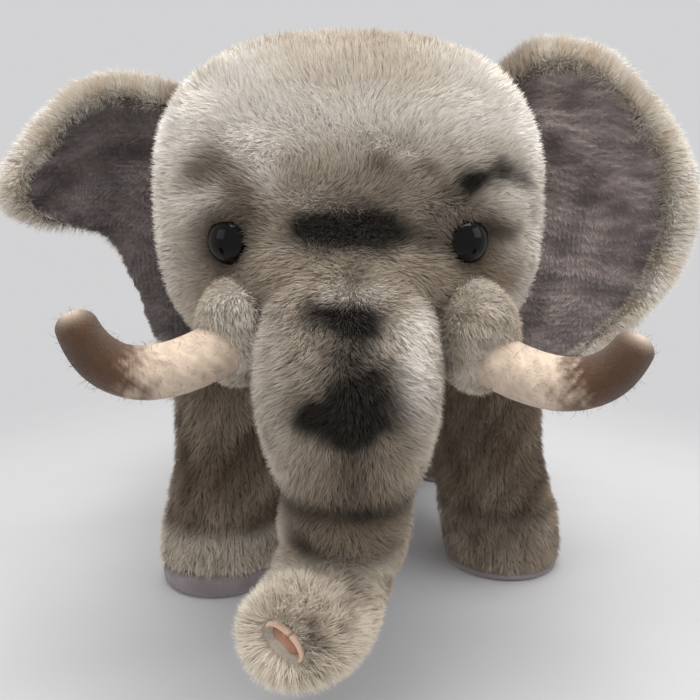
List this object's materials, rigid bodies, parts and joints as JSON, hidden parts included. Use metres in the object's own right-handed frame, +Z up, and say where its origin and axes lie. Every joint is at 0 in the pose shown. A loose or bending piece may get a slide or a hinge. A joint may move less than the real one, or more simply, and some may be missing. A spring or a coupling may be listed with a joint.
{
  "type": "stuffed elephant",
  "caption": "Standing stuffed elephant in pieced plush with felt tusks, lined ears, safety eyes, a hanging trunk and a tail.",
  "frame": {"origin": "centre of the bounding box's bottom face, on the surface that the soles stand on", "axes": "-Y is the way the elephant faces, +X is its own left side, +Z is up"},
  "size_m": [0.2072, 0.2712, 0.1822],
  "materials": {
    "plush": "soft pile, airbrushed",
    "velour": "short velvety pile",
    "felt": "brushed felt, airbrushed towards the tip",
    "long_pile": "long loose hair",
    "fibre_fill": "loose polyester fibre",
    "eye_black": "polished",
    "washer_plastic": "moulded"
  },
  "bodies": {
    "toy": {"body_skin": "plush", "body_fill": "fibre_fill", "head_skin": "plush", "head_fill": "fibre_fill", "cheek_sleeve_left": "plush", "cheek_sleeve_right": "plush", "ear_left_seam": "plush", "ear_right_seam": "plush", "eye_left": "eye_black", "eye_right": "eye_black", "eye_washer_left": "washer_plastic", "eye_washer_right": "washer_plastic", "leg_front_left_skin": "plush", "leg_front_left_fill": "fibre_fill", "leg_front_right_skin": "plush", "leg_front_right_fill": "fibre_fill", "leg_hind_left_skin": "plush", "leg_hind_left_fill": "fibre_fill", "leg_hind_right_skin": "plush", "leg_hind_right_fill": "fibre_fill", "sole_front_left": "velour", "sole_front_right": "velour", "sole_hind_left": "velour", "sole_hind_right": "velour", "trunk_upper_skin": "plush", "trunk_upper_fill": "fibre_fill", "tusk_felt_left": "felt", "tusk_fill_left": "fibre_fill", "tusk_felt_right": "felt", "tusk_fill_right": "fibre_fill"},
    "ear_left": {"ear_left_cloth": "plush", "ear_left_lining": "velour"},
    "ear_right": {"ear_right_cloth": "plush", "ear_right_lining": "velour"},
    "trunk_middle": {"trunk_middle_skin": "plush", "trunk_middle_fill": "fibre_fill"},
    "trunk_tip": {"trunk_tip_skin": "plush", "trunk_tip_fill": "fibre_fill", "nostril_felt": "felt"},
    "tail_upper": {"tail_upper": "plush"},
    "tail_lower": {"tail_lower": "plush", "tail_tuft": "long_pile"}
  },
  "joints": [
    {"name": "ear_left_fold", "type": "hinge", "parent": "toy", "child": "ear_left", "pos_m": [0.05012, -0.04397, 0.1365], "axis": [0.0253, 0, -0.9997], "range_deg": [-20, 40], "stiffness_Nm_per_rad": 0.05},
    {"name": "ear_right_fold", "type": "hinge", "parent": "toy", "child": "ear_right", "pos_m": [-0.05038, -0.04397, 0.132], "axis": [0.0416, 0, 0.9991], "range_deg": [-20, 35], "stiffness_Nm_per_rad": 0.05},
    {"name": "trunk_bend", "type": "hinge", "parent": "toy", "child": "trunk_middle", "pos_m": [-0.00088, -0.10747, 0.066], "axis": [-1, 0, 0], "range_deg": [-15, 30], "stiffness_Nm_per_rad": 0.08},
    {"name": "trunk_curl", "type": "hinge", "parent": "trunk_middle", "child": "trunk_tip", "pos_m": [-0.00288, -0.10647, 0.048], "axis": [-1, 0, 0], "range_deg": [-25, 0], "stiffness_Nm_per_rad": 0.08},
    {"name": "tail_swing", "type": "hinge", "parent": "toy", "child": "tail_upper", "pos_m": [-0.00088, 0.11903, 0.138], "axis": [0, 1, 0], "range_deg": [-35, 35], "stiffness_Nm_per_rad": 0.02},
    {"name": "tail_lift", "type": "hinge", "parent": "tail_upper", "child": "tail_lower", "pos_m": [-0.00088, 0.13103, 0.11], "axis": [1, 0, 0], "range_deg": [-5, 50], "stiffness_Nm_per_rad": 0.02}
  ]
}
